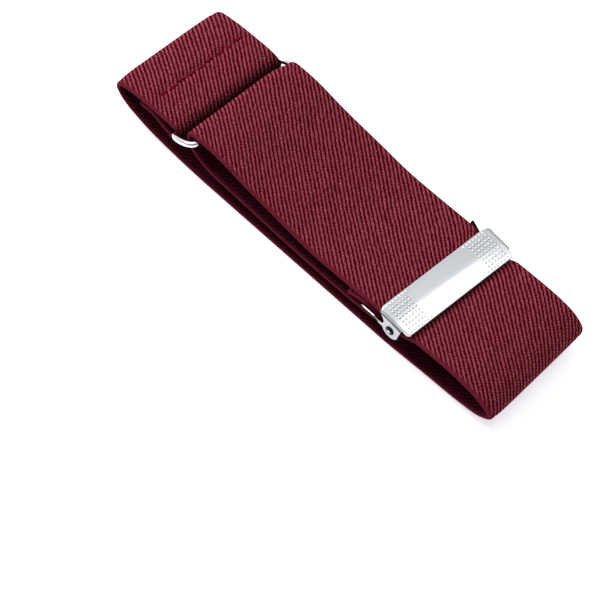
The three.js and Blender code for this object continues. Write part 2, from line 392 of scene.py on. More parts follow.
def twill_group():
    group, given, out = new_group(
        "twill webbing",
        [("Map", VECTOR, None), ("Rib", COLOUR, None), ("Groove", COLOUR, None), ("Edge", COLOUR, None)],
        [("Color", COLOUR), ("Height", FLOAT), ("Roughness", FLOAT)],
    )
    along, across, _ = split(group, given["Map"])
    fuzz = noise(group, given["Map"], FUZZ_SCALE, FUZZ_DETAIL, FUZZ_ROUGHNESS)
    rib_colour, rib_height, rib_light = rib_pattern(group, given, along, across, fuzz)
    off_middle = math_step(group, "ABSOLUTE", minus(group, across, SELVEDGE_SHIFT_CM))
    edge_colour, edge_height = edge_pattern(group, given, along, off_middle, fuzz)
    edge_at = times(group, fuzz, SELVEDGE_RAGGED_CM, off_middle)
    on_edge = ease(group, edge_at, SELVEDGE_FROM_CM, SELVEDGE_FULL_CM)
    tone = times(group, noise(group, given["Map"], PATCH_SCALE), *PATCH_TONE)
    # painted shade: the strap's turn round the ring's left bar is darkened on its side that faces the valley
    # beside the right turn
    valley_shade_at = times(group, fuzz, VALLEY_SHADE_RAGGED_CM, along)
    valley_shade = minus(
        group, ease(group, valley_shade_at, *VALLEY_SHADE_FROM_CM), ease(group, valley_shade_at, *VALLEY_SHADE_TO_CM)
    )
    tone = times(group, tone, times(group, valley_shade, -VALLEY_SHADE_DARKER, 1.0))
    colour = mix_colour(group, on_edge, rib_colour, edge_colour)
    put(group, shaded(group, colour, tone), out["Color"])
    height = group.nodes.new("ShaderNodeMix")
    put(group, on_edge, height.inputs[0])
    put(group, rib_height, height.inputs[2])
    put(group, edge_height, height.inputs[3])
    put(group, times(group, fuzz, FUZZ_HEIGHT, height.outputs[0]), out["Height"])
    put(group, times(group, rib_light, *WEBBING_ROUGHNESS), out["Roughness"])
    return group


TWILL = twill_group()
print("twill group", len(TWILL.nodes), "nodes")

# %% [markdown]
# ## Webbing and thread materials
# The webbing's face carries the wine-red yarn. Its inner side, which shows only inside the loop, is a second
# material that uses the same group with darker colours: painted shade for the dim inside of the loop. The
# thread is a little redder than the webbing, and its fine slanted bands are its plies.

# %% Both sides of the webbing
RIB_COLOUR = (0.375, 0.077, 0.105, 1)
GROOVE_COLOUR = (0.07, 0.0005, 0.003, 1)
EDGE_COLOUR = (0.15, 0.015, 0.027, 1)
# the inner side's colours are the face's colours darkened, as painted shade
SHADED_BACK_RIB_COLOUR = (0.085, 0.011, 0.025, 1)
SHADED_BACK_GROOVE_COLOUR = (0.032, 0.002, 0.008, 1)
SHADED_BACK_EDGE_COLOUR = (0.075, 0.007, 0.017, 1)
WEAVE_DEPTH = 0.26 * MM


def webbing_side(name, rib, groove, edge):
    material, tree, shader = new_material(name, Specular_IOR_Level=0.01)
    own_map = tree.nodes.new("ShaderNodeUVMap")
    own_map.uv_map = "weave"
    pattern = use_group(tree, TWILL, Map=own_map.outputs["UV"], Rib=rib, Groove=groove, Edge=edge)
    put(tree, pattern["Color"], shader.inputs["Base Color"])
    put(tree, pattern["Roughness"], shader.inputs["Roughness"])
    bump(tree, shader, pattern["Height"], WEAVE_DEPTH)
    return material


webbing = webbing_side("elastic webbing", RIB_COLOUR, GROOVE_COLOUR, EDGE_COLOUR)
webbing_back_painted_shade = webbing_side("elastic webbing back painted shade", SHADED_BACK_RIB_COLOUR, SHADED_BACK_GROOVE_COLOUR, SHADED_BACK_EDGE_COLOUR)
print("webbing materials", webbing.name, "and", webbing_back_painted_shade.name)

# %% Sewing thread
THREAD_COLOUR = (0.21, 0.006, 0.018, 1)
THREAD_DARK_COLOUR = (0.11, 0.002, 0.008, 1)
PLIES_PER_METRE = 900
PLY_DEPTH = 0.05 * MM

thread, tree, shader = new_material("sewing thread", Roughness=0.75, Specular_IOR_Level=0.04)
ply = tree.nodes.new("ShaderNodeTexWave")
ply.inputs["Scale"].default_value = PLIES_PER_METRE
put(tree, object_place(tree), ply.inputs["Vector"])
thread_colour = mix_colour(tree, ply.outputs["Fac"], THREAD_DARK_COLOUR, THREAD_COLOUR)
put(tree, thread_colour, shader.inputs["Base Color"])
bump(tree, shader, ply.outputs["Fac"], PLY_DEPTH)
print("thread material", thread.name)

# %% [markdown]
# ## The metals
# Plated wire and sheet are never one flat value: handling leaves hairlines and faint haze. One node group
# gives that wear, and each metal takes it in its own strength. Stretching the pattern along one axis turns
# its spots into brushed lines.

# %% Metal wear group
HAIRLINE_SCALE = 900.0
HAZE_SCALE = 260.0
HAZE_TONE = (-0.12, 1.03)


def wear_group():
    group, given, out = new_group(
        "metal wear",
        [
            ("Place", VECTOR, None),
            ("Metal", COLOUR, None),
            ("Roughness", FLOAT, 0.15),
            ("Haze", FLOAT, 0.1),
            ("Stretch", VECTOR, (1, 1, 1)),
        ],
        [("Color", COLOUR), ("Roughness", FLOAT), ("Height", FLOAT)],
    )
    stretched = vector_step(group, "MULTIPLY", given["Place"], given["Stretch"])
    lines = noise(group, stretched, HAIRLINE_SCALE, 3.0, 0.6)
    haze = noise(group, given["Place"], HAZE_SCALE, 3.0, 0.6)
    roughness = times(group, times(group, haze, lines), given["Haze"], given["Roughness"])
    put(group, roughness, out["Roughness"])
    put(group, shaded(group, given["Metal"], times(group, haze, *HAZE_TONE)), out["Color"])
    put(group, lines, out["Height"])
    return group


METAL_WEAR = wear_group()
print("wear group", len(METAL_WEAR.nodes), "nodes")

# %% Wire and sheet
EVEN, BRUSHED_WIRE, BRUSHED_SHEET = (1, 1, 1), (1, 0.2, 1), (1, 0.04, 1)


def metal(name, colour, roughness, haze, stretch, line_depth):
    """A metal with one colour, or with a colour that a function works out in the material."""
    material, tree, shader = new_material(name, Metallic=1.0)
    metal_colour = colour(tree) if callable(colour) else colour
    worn = use_group(
        tree, METAL_WEAR,
        Place=object_place(tree), Metal=metal_colour, Roughness=roughness, Haze=haze, Stretch=stretch,
    )
    put(tree, worn["Color"], shader.inputs["Base Color"])
    put(tree, worn["Roughness"], shader.inputs["Roughness"])
    bump(tree, shader, worn["Height"], line_depth)
    return material


base_sheet = metal("base sheet", (0.66, 0.66, 0.67, 1), 0.1, 0.12, EVEN, 0.004 * MM)
bright_wire = metal("plated wire", (0.86, 0.86, 0.87, 1), 0.06, 0.12, BRUSHED_WIRE, 0.002 * MM)
plated_sheet = metal("plated sheet", (0.49, 0.485, 0.505, 1), 0.14, 0.16, EVEN, 0.004 * MM)
brushed_plate = metal("brushed plate", (0.66, 0.665, 0.675, 1), 0.2, 0.2, BRUSHED_SHEET, 0.01 * MM)
print("metals", [metal_made.name for metal_made in (base_sheet, bright_wire, plated_sheet, brushed_plate)])

# %% [markdown]
# ## The strap's route
# The strap is drawn as one line in the side view. It starts at its cut end, goes round the ring's left bar,
# over the top, round the big flattened loop, through the adjuster, round the ring's right bar and back to
# the adjuster's rear bar. A smooth curve runs through a few points on straight stretches and more on the
# turns.

# %% Route of the strap: points as (x, z), in millimetres
HALF_THICKNESS = 0.75
RING_LEFT, RING_RIGHT = (-44.4, 10.25), (-36.7, 13.5)
LEFT_WRAP_MIDDLE, LEFT_WRAP = (-44.9, 9.45), 2.2
RIGHT_WRAP_MIDDLE, RIGHT_WRAP = (-37.45, 13.15), 2.3
PIN = (34.25, 9.9)
TILT = math.radians(7)
TURN = math.radians(-1)
REAR_BAR_END = (-7.9, -3.8)
REAR_WRAP = 1.3
REAR_WRAP_LEAVES = -9.8

TAIL = [(-57.4, 9.95), (-52.5, 9.9), (-48.6, 8.4)]
LEFT_LOOP = [
    (-46.6, 11.95), (-52.0, 11.95), (-59.0, 11.6), (-64.3, 10.3), (-65.25, 8.4), (-62.6, 5.3), (-55.3, 2.75),
]
LOWER_LAYER = [
    (-44.0, 1.3), (-33.0, 0.75), (-20.0, 0.75), (18.0, 0.75), (31.0, 0.75), (45.5, 1.8), (56.0, 2.5),
]
RIGHT_FOLD = [(62.3, 3.85), (65.25, 6.5), (62.3, 9.3), (55.0, 10.9), (44.0, 10.8), (40.6, 10.5)]
CLAMPED = [(36.4, 8.55), (34.2, 7.85), (32.0, 8.55), (28.2, 10.3), (24.2, 10.45)]
UPPER_LAYER = [(18.0, 10.3), (4.0, 10.2), (-6.0, 11.5), (-19.0, 13.3), (-30.0, 15.35)]
MIDDLE_LAYER = [(-38.1, 9.8), (-33.0, 7.1), (-20.0, 6.0), (0.0, 5.15), (17.0, 5.2)]
SEWN_END = [(21.0, 8.1), (17.8, 7.2)]


def arc(center, radius, start, end, steps):
    """Points on an arc, from one angle to another, in degrees."""
    angles = [math.radians(start + (end - start) * i / steps) for i in range(steps + 1)]
    return [(center[0] + radius * math.cos(a), center[1] + radius * math.sin(a)) for a in angles]


def from_adjuster(u, w):
    """A side-view point of the tilted adjuster, in the part's frame."""
    return (
        PIN[0] + u * math.cos(TILT) + w * math.sin(TILT),
        PIN[1] - u * math.sin(TILT) + w * math.cos(TILT),
    )


rear_turn = [from_adjuster(*point) for point in arc(REAR_BAR_END, REAR_WRAP, -90, 90, 4)]
rear_turn.append(from_adjuster(REAR_WRAP_LEAVES, REAR_BAR_END[1] + REAR_WRAP))
left_turn = arc(LEFT_WRAP_MIDDLE, LEFT_WRAP, -112, 62, 5)
right_turn = arc(RIGHT_WRAP_MIDDLE, RIGHT_WRAP, 88, 212, 5)
route = TAIL + left_turn + LEFT_LOOP + LOWER_LAYER + RIGHT_FOLD + CLAMPED + UPPER_LAYER
route += right_turn + MIDDLE_LAYER + rear_turn + SEWN_END
print("route", len(route), "points")

# %% Smooth curve through the route
POINTS_PER_SPAN = 60


def curve_through(points, per_span):
    """A centripetal Catmull-Rom curve, which passes through every point without loops."""
    points = [Vector(p) for p in points]
    points = [2 * points[0] - points[1], *points, 2 * points[-1] - points[-2]]
    line = []
    for p0, p1, p2, p3 in zip(points, points[1:], points[2:], points[3:]):
        d0, d1, d2 = ((b - a).length ** 0.5 for a, b in ((p0, p1), (p1, p2), (p2, p3)))
        m1 = ((p1 - p0) / d0 - (p2 - p0) / (d0 + d1) + (p2 - p1) / d1) * d1
        m2 = ((p2 - p1) / d1 - (p3 - p1) / (d1 + d2) + (p3 - p2) / d2) * d1
        for i in range(per_span):
            t = i / per_span
            bend = (3 * (p2 - p1) - 2 * m1 - m2) * t**2 + (2 * (p1 - p2) + m1 + m2) * t**3
            line.append(p1 + m1 * t + bend)
    return line + [points[-2]]


smooth_route = curve_through(route, POINTS_PER_SPAN)
dense = [Vector((point.x, max(point.y, HALF_THICKNESS))) for point in smooth_route]
print("curve", len(dense), "points")

# %% Stations: a new one wherever the line has turned or run far enough
MOST_TURN = math.radians(7)
LONGEST_STEP = 1.1
SEAM_STEP = 0.25
SEAM_X = -54.6
SEAM_REACH = 2.6
TOP_LAYERS_Z = 8.5

stations = [(0.0, dense[0], (dense[1] - dense[0]).normalized())]
run, turned, travelled = 0.0, 0.0, 0.0
for i in range(1, len(dense) - 1):
    before, after = dense[i] - dense[i - 1], dense[i + 1] - dense[i]
    travelled += before.length
    run += before.length
    turned += before.angle(after, 0.0)
    at_seam = abs(dense[i].x - SEAM_X) < SEAM_REACH and dense[i].y > TOP_LAYERS_Z
    if turned > MOST_TURN or run > (SEAM_STEP if at_seam else LONGEST_STEP):
        stations.append((travelled, dense[i], (dense[i + 1] - dense[i - 1]).normalized()))
        run, turned = 0.0, 0.0
travelled += (dense[-1] - dense[-2]).length
stations.append((travelled, dense[-1], (dense[-1] - dense[-2]).normalized()))
print("strap", round(travelled, 1), "mm long,", len(stations), "stations")

# %% [markdown]
# ## The strap
# Real webbing is a flat strip, so it is modelled flat first: a grid, given its map, its thickness and its
# rounded woven edges. Only then is it laid along the route. Bending last keeps the pattern and the
# thickness true.

# %% Widths of the flat strip, and its half thickness near the edges
ACROSS = [
    17.3, 17.22, 17.0, 16.6, 16.1, 15.75, 15.5, 15.25, 14.8, 13.6, 11.8, 10.0, 8.0, 6.0, 4.0, 2.0,
]
EDGE_SECTION = [
    (17.3, 0.30), (17.22, 0.50), (17.0, 0.64), (16.6, 0.70), (16.1, 0.70), (15.75, 0.65), (15.5, 0.60),
    (15.25, 0.70), (14.8, 0.75),
]
HALF_STRAP = ACROSS[0]
columns = [-y for y in ACROSS] + [0.0] + ACROSS[::-1]


def half_thickness_at(y):
    y = abs(y)
    for (outer, thin), (inner, thick) in zip(EDGE_SECTION, EDGE_SECTION[1:]):
        if y >= inner:
            return thick + (thin - thick) * (y - inner) / (outer - inner)
    return HALF_THICKNESS


print("strip", 2 * HALF_STRAP, "mm wide,", len(columns), "columns")

# %% Flat strip with its map, its thickness and its two sides
FRONT_SIDE = -1
MAP_UNITS_PER_MM = 0.1

bpy.ops.object.select_all(action="DESELECT")
bpy.ops.mesh.primitive_grid_add(x_subdivisions=len(stations) - 1, y_subdivisions=len(columns) - 1, size=2)
strap = named("webbing_strap")
for vertex in strap.data.vertices:
    i = round((vertex.co.x + 1) / 2 * (len(stations) - 1))
    j = round((vertex.co.y + 1) / 2 * (len(columns) - 1))
    vertex.co = Vector((stations[i][0], columns[j], 0))
weave_map = strap.data.uv_layers[0]
weave_map.name = "weave"
for loop in strap.data.loops:
    place = strap.data.vertices[loop.vertex_index].co
    weave_map.data[loop.index].uv = (place.x * MAP_UNITS_PER_MM, place.y * MAP_UNITS_PER_MM)
paint(strap, webbing, webbing_back_painted_shade)
wall = strap.modifiers.new("thickness", "SOLIDIFY")
wall.thickness = 2 * HALF_THICKNESS
wall.offset = 0
wall.material_offset = 1
apply_modifiers(strap)
# faces of the inner side take the darker copy, which is painted shade
for face in strap.data.polygons:
    heights = [strap.data.vertices[corner].co.z for corner in face.vertices]
    is_edge = max(heights) > 0 > min(heights)
    face.material_index = 0 if is_edge or FRONT_SIDE * max(heights, key=abs) > 0 else 1
print("flat strip", len(strap.data.vertices), "points")

# %% [markdown]
# ## Laying the strip
# Soft webbing never follows its route exactly. A seam's thread pulls it in, folds are fuller than their
# edges, and a free edge spreads. Each of these is a small move that fades out over a range, added to the
# plain route.

# %% Where the strip is sewn, pressed and twisted, in millimetres
SEAM_MIDDLE, SEAM_HALF, SEAM_END_FADE = 1.1, 14.2, 1.5
SEAM_DIP, SEAM_UNDERSIDE = 0.5, -0.4
SEAM_SPREAD, SEAM_PULL_REACH = 1.0, 3
CORNER_POWER = 6
LEFT_FOLD_X = (-66, -56)
LEFT_FULLER, LEFT_CORNER_IN = 1.2, 0.5
RIGHT_FOLD_X = (50, 66)
FOLD_SKEW, RIGHT_CORNER_IN = 0.07, 0.4
FAR_CORNER_Y, NEAR_CORNER_Y = (4, HALF_STRAP), (2, HALF_STRAP)
FAR_CORNER_UP, NEAR_CORNER_DOWN = 0.45, 0.35
UPPER_FOLD_Z = (4, 10)
RING_TURN_X, RING_TURN_Z = (-42, -35), 9.4
RING_TURN_FADE_X, RING_CORNER_Y = (-38.5, -35.5), (10, HALF_STRAP)
RING_CORNER_IN = 1.0
UNEVEN_HEIGHT, UNEVEN_ALONG, UNEVEN_ACROSS = 0.06, 7.0, 9.0
OFF_THE_FLOOR_Z = (1.6, 4)
FAR_WIDER, WIDER_Z = 0.7, (5.5, 8.5)
HELD_FROM_X, HELD_TO_X = (26.0, 29.0), (38.0, 42.0)


def soft_step(value, low, high):
    t = min(max((value - low) / (high - low), 0), 1)
    return t * t * (3 - 2 * t)


def route_at(distance):
    """The point and direction of the route at a distance along it."""
    for (s0, p0, d0), (s1, p1, d1) in zip(stations, stations[1:]):
        if distance <= s1:
            t = (distance - s0) / (s1 - s0)
            return p0.lerp(p1, t), d0.lerp(d1, t).normalized()
    return stations[-1][1], stations[-1][2]


def laid(distance, across, off):
    """A point of the flat strip, in millimetres, laid along the route."""
    point, along = route_at(distance)
    x = point.x - along.y * off
    z = point.y + along.x * off
    # the thread pulls the two sewn layers in along the seam
    if abs(x - SEAM_X) < SEAM_PULL_REACH and z > TOP_LAYERS_Z:
        pull = SEAM_DIP * math.exp(-(((x - SEAM_X) / SEAM_SPREAD) ** 2))
        pull *= 1 - soft_step(abs(across - SEAM_MIDDLE), SEAM_HALF, SEAM_HALF + SEAM_END_FADE)
        z -= pull * (1 if off * along.x > 0 else SEAM_UNDERSIDE)
    # the left fold is full, and its corners are drawn in a little
    corner = (abs(across) / HALF_STRAP) ** CORNER_POWER
    x -= (1 - soft_step(x, *LEFT_FOLD_X)) * (LEFT_FULLER - LEFT_CORNER_IN * corner)
    # the right fold's far corner stands up, and its near one lies lower
    at_fold = soft_step(x, *RIGHT_FOLD_X)
    far, near = soft_step(across, *FAR_CORNER_Y), soft_step(-across, *NEAR_CORNER_Y)
    x -= at_fold * (FOLD_SKEW * across + RIGHT_CORNER_IN * corner * (1 - far))
    z += at_fold * soft_step(z, *UPPER_FOLD_Z) * (FAR_CORNER_UP * far - NEAR_CORNER_DOWN * near)
    # the far corner of the turn over the ring is drawn in
    if RING_TURN_X[0] < x < RING_TURN_X[1] and z > RING_TURN_Z:
        x += RING_CORNER_IN * (1 - soft_step(x, *RING_TURN_FADE_X)) * soft_step(across, *RING_CORNER_Y)
    # a soft, uneven lie
    z += UNEVEN_HEIGHT * math.sin(x / UNEVEN_ALONG + across / UNEVEN_ACROSS) * soft_step(z, *OFF_THE_FLOOR_Z)
    # the far edge spreads wherever the adjuster doesn't hold it
    held = soft_step(x, *HELD_FROM_X) * (1 - soft_step(x, *HELD_TO_X))
    wider = FAR_WIDER * (1 - held) * soft_step(z, *WIDER_Z) * soft_step(across, 0, HALF_STRAP)
    return Vector((x, across + wider, z))


# %% Lay the strip
for vertex in strap.data.vertices:
    distance, across, off = vertex.co
    off = math.copysign(half_thickness_at(across), off)
    vertex.co = laid(distance, across, off) * MM
strap.data.update()
only(strap)
bpy.ops.object.mode_set(mode="EDIT")
bpy.ops.mesh.select_all(action="SELECT")
bpy.ops.mesh.normals_make_consistent(inside=False)
bpy.ops.object.mode_set(mode="OBJECT")
smooth(strap, 60)
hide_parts("elastic_strap")
finish_piece(strap, "band")

# %% [markdown]
# ## The seam near the ring
# Where the strap's cut end is sewn under the upper layer, a row of lock stitches shows as short sunken
# dashes. One stitch is modelled from a sphere pulled long and pressed flat, then copied along the seam,
# each copy a little longer, shorter or turned, as thread pulled by a machine is.

# %% One stitch
STITCH_LENGTH, STITCH_RADIUS = 2.8, 0.46
STITCH_FLATNESS = 0.7

bpy.ops.object.select_all(action="DESELECT")
bpy.ops.mesh.primitive_uv_sphere_add(segments=10, ring_count=8, radius=1)
one_stitch = named("one_stitch")
one_stitch.scale = Vector((STITCH_RADIUS, STITCH_LENGTH / 2, STITCH_RADIUS * STITCH_FLATNESS)) * MM
settle(one_stitch)
print("one stitch", len(one_stitch.data.polygons), "faces")

# %% Row of stitches
STITCHES = 9
STITCH_Z = 12.24
ROW_HALF = SEAM_HALF - 1.2
LENGTH_VARIES, TURN_VARIES, PLACE_VARIES = 0.16, math.radians(9), 0.22

row = []
for k in range(STITCHES):
    y = SEAM_MIDDLE - ROW_HALF + 2 * ROW_HALF * k / (STITCHES - 1)
    stitch = copy_of(one_stitch, f"stitch_{k}")
    stitch.scale.y = 1 + LENGTH_VARIES * math.sin(k * 1.7)
    stitch.rotation_euler.z = TURN_VARIES * math.sin(k * 2.9)
    stitch.location = Vector((SEAM_X + PLACE_VARIES * math.sin(k * 2.1), y, STITCH_Z)) * MM
    row.append(settle(stitch))
bpy.data.objects.remove(one_stitch)
seam = joined(row, "seam_stitches")
smooth(seam, 60)
paint(seam, thread)
finish_piece(seam, "band")

# %% [markdown]
# ## The wire ring
# A bent wire is a line with a round section. A closed curve is drawn in the ring's own plane, given the
# wire's radius, turned into a mesh and tilted into the two turns of the strap.

# %% Outline of the ring
RING_WIRE_RADIUS = 0.8
RING_HALF_LENGTH = 18.75
RING_END_DEPTH = 2.1
RING_END_SQUARE = 0.8
POINTS_PER_END = 17

ring_half_width = math.dist(RING_LEFT, RING_RIGHT) / 2
ring_line = []
for side in (1, -1):
    for k in range(POINTS_PER_END):
        angle = math.pi * k / (POINTS_PER_END - 1)
        over = math.copysign(abs(math.cos(angle)) ** RING_END_SQUARE, math.cos(angle))
        out = math.sin(angle) ** RING_END_SQUARE
        ring_y = RING_HALF_LENGTH - RING_END_DEPTH * (1 - out)
        ring_line.append((side * ring_half_width * over, side * ring_y))
print("ring", round(2 * ring_half_width, 1), "mm wide between its bars")

# %% Ring
ring_curve = bpy.data.curves.new("wire_ring", "CURVE")
ring_curve.dimensions = "3D"
ring_curve.bevel_depth = RING_WIRE_RADIUS * MM
ring_curve.bevel_resolution = 6
spline = ring_curve.splines.new("POLY")
spline.points.add(len(ring_line) - 1)
for point, (x, y) in zip(spline.points, ring_line):
    point.co = (x * MM, y * MM, 0, 1)
spline.use_cyclic_u = True
ring = bpy.data.objects.new("wire_ring", ring_curve)
bpy.context.scene.collection.objects.link(ring)
only(ring)
bpy.ops.object.convert(target="MESH")
ring = named("wire_ring")
ring_tilt = math.atan2(RING_RIGHT[1] - RING_LEFT[1], RING_RIGHT[0] - RING_LEFT[0])
ring_middle = Vector(((RING_LEFT[0] + RING_RIGHT[0]) / 2, 0, (RING_LEFT[1] + RING_RIGHT[1]) / 2)) * MM
settle(ring, Matrix.Translation(ring_middle) @ Matrix.Rotation(-ring_tilt, 4, "Y"))
smooth(ring, 60)
paint(ring, bright_wire)
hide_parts("oval_ring")
finish_piece(ring, "band")

# %% [markdown]
# ## The adjuster's cover
# The cover is stamped from sheet: a slightly arched plate with rounded corners, folded down at both ends
# into a cheek with an eyelet. It is built flat on, from blocks joined and cut with booleans, then put in
# its place.

# %% Modelling helpers for sheet metal
WELD_DISTANCE = 0.002 * MM
ADJUSTER_PLACE = (
    Matrix.Translation(Vector((PIN[0], 0, PIN[1])) * MM)
    @ Matrix.Rotation(TURN, 4, "Z")
    @ Matrix.Rotation(TILT, 4, "Y")
)


def block(name, low, high):
    """A box between two corners, in millimetres, kept in metres."""
    low, high = Vector(low), Vector(high)
    bpy.ops.object.select_all(action="DESELECT")
    bpy.ops.mesh.primitive_cube_add(size=1, location=(low + high) / 2 * MM)
    piece = named(name)
    piece.scale = (high - low) * MM
    return settle(piece)


def rod(name, place, radius, length, sides=48):
    """A cylinder along Y, in millimetres, kept in metres."""
    bpy.ops.object.select_all(action="DESELECT")
    bpy.ops.mesh.primitive_cylinder_add(
        vertices=sides, radius=radius * MM, depth=length * MM,
        location=Vector(place) * MM, rotation=(math.pi / 2, 0, 0),
    )
    return settle(named(name))


def bevel_edges(piece, chosen, width, segments):
    """Rounds the edges that the test picks, as Ctrl+B does by hand."""
    only(piece)
    bpy.ops.object.mode_set(mode="EDIT")
    bpy.ops.mesh.select_mode(type="EDGE")
    bpy.ops.mesh.select_all(action="DESELECT")
    mesh = bmesh.from_edit_mesh(piece.data)
    for edge in mesh.edges:
        if chosen(*(vertex.co / MM for vertex in edge.verts)):
            edge.select_set(True)
    bmesh.update_edit_mesh(piece.data)
    bpy.ops.mesh.bevel(offset=width * MM, segments=segments, affect="EDGES")
    bpy.ops.object.mode_set(mode="OBJECT")
    return piece


def weld(piece):
    """Joins points that lie on one another, which a boolean leaves along shared edges."""
    only(piece)
    bpy.ops.object.mode_set(mode="EDIT")
    bpy.ops.mesh.select_all(action="SELECT")
    bpy.ops.mesh.remove_doubles(threshold=WELD_DISTANCE)
    bpy.ops.mesh.dissolve_degenerate(threshold=WELD_DISTANCE)
    bpy.ops.object.mode_set(mode="OBJECT")
    return piece


def combine(piece, other, operation):
    """Joins to, or cuts from, the first piece, and uses the other one up."""
    cut = piece.modifiers.new("combine", "BOOLEAN")
    cut.object = other
    cut.operation = operation
    cut.solver = "EXACT"
    apply_modifiers(piece)
    bpy.data.objects.remove(other)
    return weld(piece)


# %% Arch of the cover
COVER_HALF_WIDTH, COVER_HALF_LENGTH = 5.2, 18.2
COVER_ARCH = 0.36
CREASE_SOFTNESS = 0.9
BAND_WIDTH, BANDS_EACH_SIDE = 0.5, 9


def arch(x):
    """How far the cover stands above its edges, with a soft crease along its middle."""
    edge = math.hypot(COVER_HALF_WIDTH, CREASE_SOFTNESS) - CREASE_SOFTNESS
    return COVER_ARCH * (1 - (math.hypot(x, CREASE_SOFTNESS) - CREASE_SOFTNESS) / edge)


def arched(piece, above):
    """Cuts a piece lengthwise into narrow bands and arches what lies above a height."""
    only(piece)
    bpy.ops.object.mode_set(mode="EDIT")
    for k in range(-BANDS_EACH_SIDE, BANDS_EACH_SIDE + 1):
        bpy.ops.mesh.select_all(action="SELECT")
        bpy.ops.mesh.bisect(plane_co=(k * BAND_WIDTH * MM, 0, 0), plane_no=(1, 0, 0))
    bpy.ops.object.mode_set(mode="OBJECT")
    for vertex in piece.data.vertices:
        if vertex.co.z > above * MM:
            vertex.co.z += (arch(vertex.co.x / MM) - COVER_ARCH) * MM
    return piece


# %% Cover plate
COVER_TOP = 3.53
COVER_SHEET = 0.7
COVER_CORNER = 1.4
PLATE_RIM = 0.22

plate = block(
    "cover_plate",
    (-COVER_HALF_WIDTH, -COVER_HALF_LENGTH, COVER_TOP - COVER_SHEET),
    (COVER_HALF_WIDTH, COVER_HALF_LENGTH, COVER_TOP),
)
bevel_edges(plate, lambda a, b: abs(a.z - b.z) > 0.1, COVER_CORNER, 6)
bevel_edges(plate, lambda a, b: abs(a.z - b.z) < 0.01 and a.z > COVER_TOP - 0.01, PLATE_RIM, 3)
arched(plate, 0)
print("cover plate", len(plate.data.polygons), "faces")

# %% Cheeks: a tab over both ends of the plate, hollowed below
CHEEK_INNER, CHEEK_OUTER = 18.5, 19.1
TAB_REAR, TAB_FRONT, TAB_FOOT = -4.9, 3.0, 2.58
TAB_TOP, TAB_BOTTOM = COVER_TOP - 0.1, -0.4
TAB_ARCHED_ABOVE = 2.3
OUTER_BEND, INNER_BEND = 0.9, 0.3
BEYOND = 9

cheeks = block("cover_cheeks", (TAB_REAR, -CHEEK_OUTER, TAB_BOTTOM), (TAB_FRONT, CHEEK_OUTER, TAB_TOP))
for vertex in cheeks.data.vertices:
    if vertex.co.z < 0:
        vertex.co.x = math.copysign(TAB_FOOT * MM, vertex.co.x)
bevel_edges(cheeks, lambda a, b: abs(a.z - b.z) > 3 and a.x < 0, COVER_CORNER, 6)
bevel_edges(cheeks, lambda a, b: a.z > 3 and b.z > 3 and abs(a.y - b.y) < 0.1, OUTER_BEND, 6)
arched(cheeks, TAB_ARCHED_ABOVE)
hollow = block("tab_hollow", (-BEYOND, -CHEEK_INNER, -BEYOND), (BEYOND, CHEEK_INNER, TAB_TOP - COVER_SHEET))
bevel_edges(hollow, lambda a, b: a.z > 1 and b.z > 1 and abs(a.y - b.y) < 0.1, INNER_BEND, 4)
arched(hollow, TAB_ARCHED_ABOVE)
combine(cheeks, hollow, "DIFFERENCE")
print("tabs", len(cheeks.data.polygons), "faces")

# %% Round lobes, eyelets and pressing edge
LOBE_RADIUS, EYELET_RADIUS = 2.65, 1.35
PRESS_LOW, PRESS_HIGH = (-0.1, -15, -0.9), (0.6, 15, COVER_TOP - COVER_SHEET)

for side in (-1, 1):
    middle = side * (CHEEK_INNER + CHEEK_OUTER) / 2
    combine(cheeks, rod("lobe", (0, middle, 0), LOBE_RADIUS, CHEEK_OUTER - CHEEK_INNER), "UNION")
combine(cheeks, rod("eyelet", (0, 0, 0), EYELET_RADIUS, 3 * COVER_HALF_LENGTH), "DIFFERENCE")
combine(cheeks, block("press_edge", PRESS_LOW, PRESS_HIGH), "UNION")
settle(cheeks, ADJUSTER_PLACE)
smooth(cheeks)
paint(cheeks, plated_sheet)
finish_piece(cheeks, "flap")

# %% The plate in its place
settle(plate, ADJUSTER_PLACE)
smooth(plate)
paint(plate, brushed_plate)
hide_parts("adjuster_flap")
finish_piece(plate, "flap")

# %% [markdown]
# ## The raised dots
# Both ends of the cover carry a field of fine raised dots that give the thumb grip. One dot is a low dome,
# and it is copied over a square grid inside a field whose inner border curves. The dots near the plate's
# long edges are pressed less deep, so they are flatter.

# %% One dot
DOT_RADIUS, DOT_HEIGHT = 0.36, 0.17

bpy.ops.object.select_all(action="DESELECT")
bpy.ops.mesh.primitive_ico_sphere_add(subdivisions=2, radius=1)
one_dot = named("one_dot")
one_dot.scale = Vector((DOT_RADIUS, DOT_RADIUS, DOT_HEIGHT)) * MM
settle(one_dot)
print("one dot", len(one_dot.data.polygons), "faces")

# %% Both fields of dots
DOT_PITCH = 1.1
DOT_ROWS, DOT_COLUMNS = 4, 17
DOTS_FULL_X, DOTS_FLATTER = (-3.8, 1.0), 0.45
FIELD_START, FIELD_DEPTH, FIELD_CURVE = 1.3, 9.0, 1.8


def in_field(x, y):
    inside = COVER_HALF_LENGTH - abs(y)
    return FIELD_START < inside < FIELD_DEPTH - FIELD_CURVE * (1 - (x / COVER_HALF_WIDTH) ** 2)


dots = []
for i in range(-DOT_ROWS, DOT_ROWS + 1):
    for j in range(-DOT_COLUMNS, DOT_COLUMNS + 1):
        x, y = i * DOT_PITCH, j * DOT_PITCH
        if in_field(x, y):
            dot = copy_of(one_dot, f"dot_{i}_{j}")
            dot.scale.z = 1 if DOTS_FULL_X[0] < x < DOTS_FULL_X[1] else DOTS_FLATTER
            dot.location = Vector((x, y, COVER_TOP + arch(x) - COVER_ARCH)) * MM
            dots.append(dot)
print(len(dots), "dots")
bpy.data.objects.remove(one_dot)
dot_field = settle(joined(dots, "cover_dots"), ADJUSTER_PLACE)
smooth(dot_field, 60)
paint(dot_field, brushed_plate)
finish_piece(dot_field, "flap")

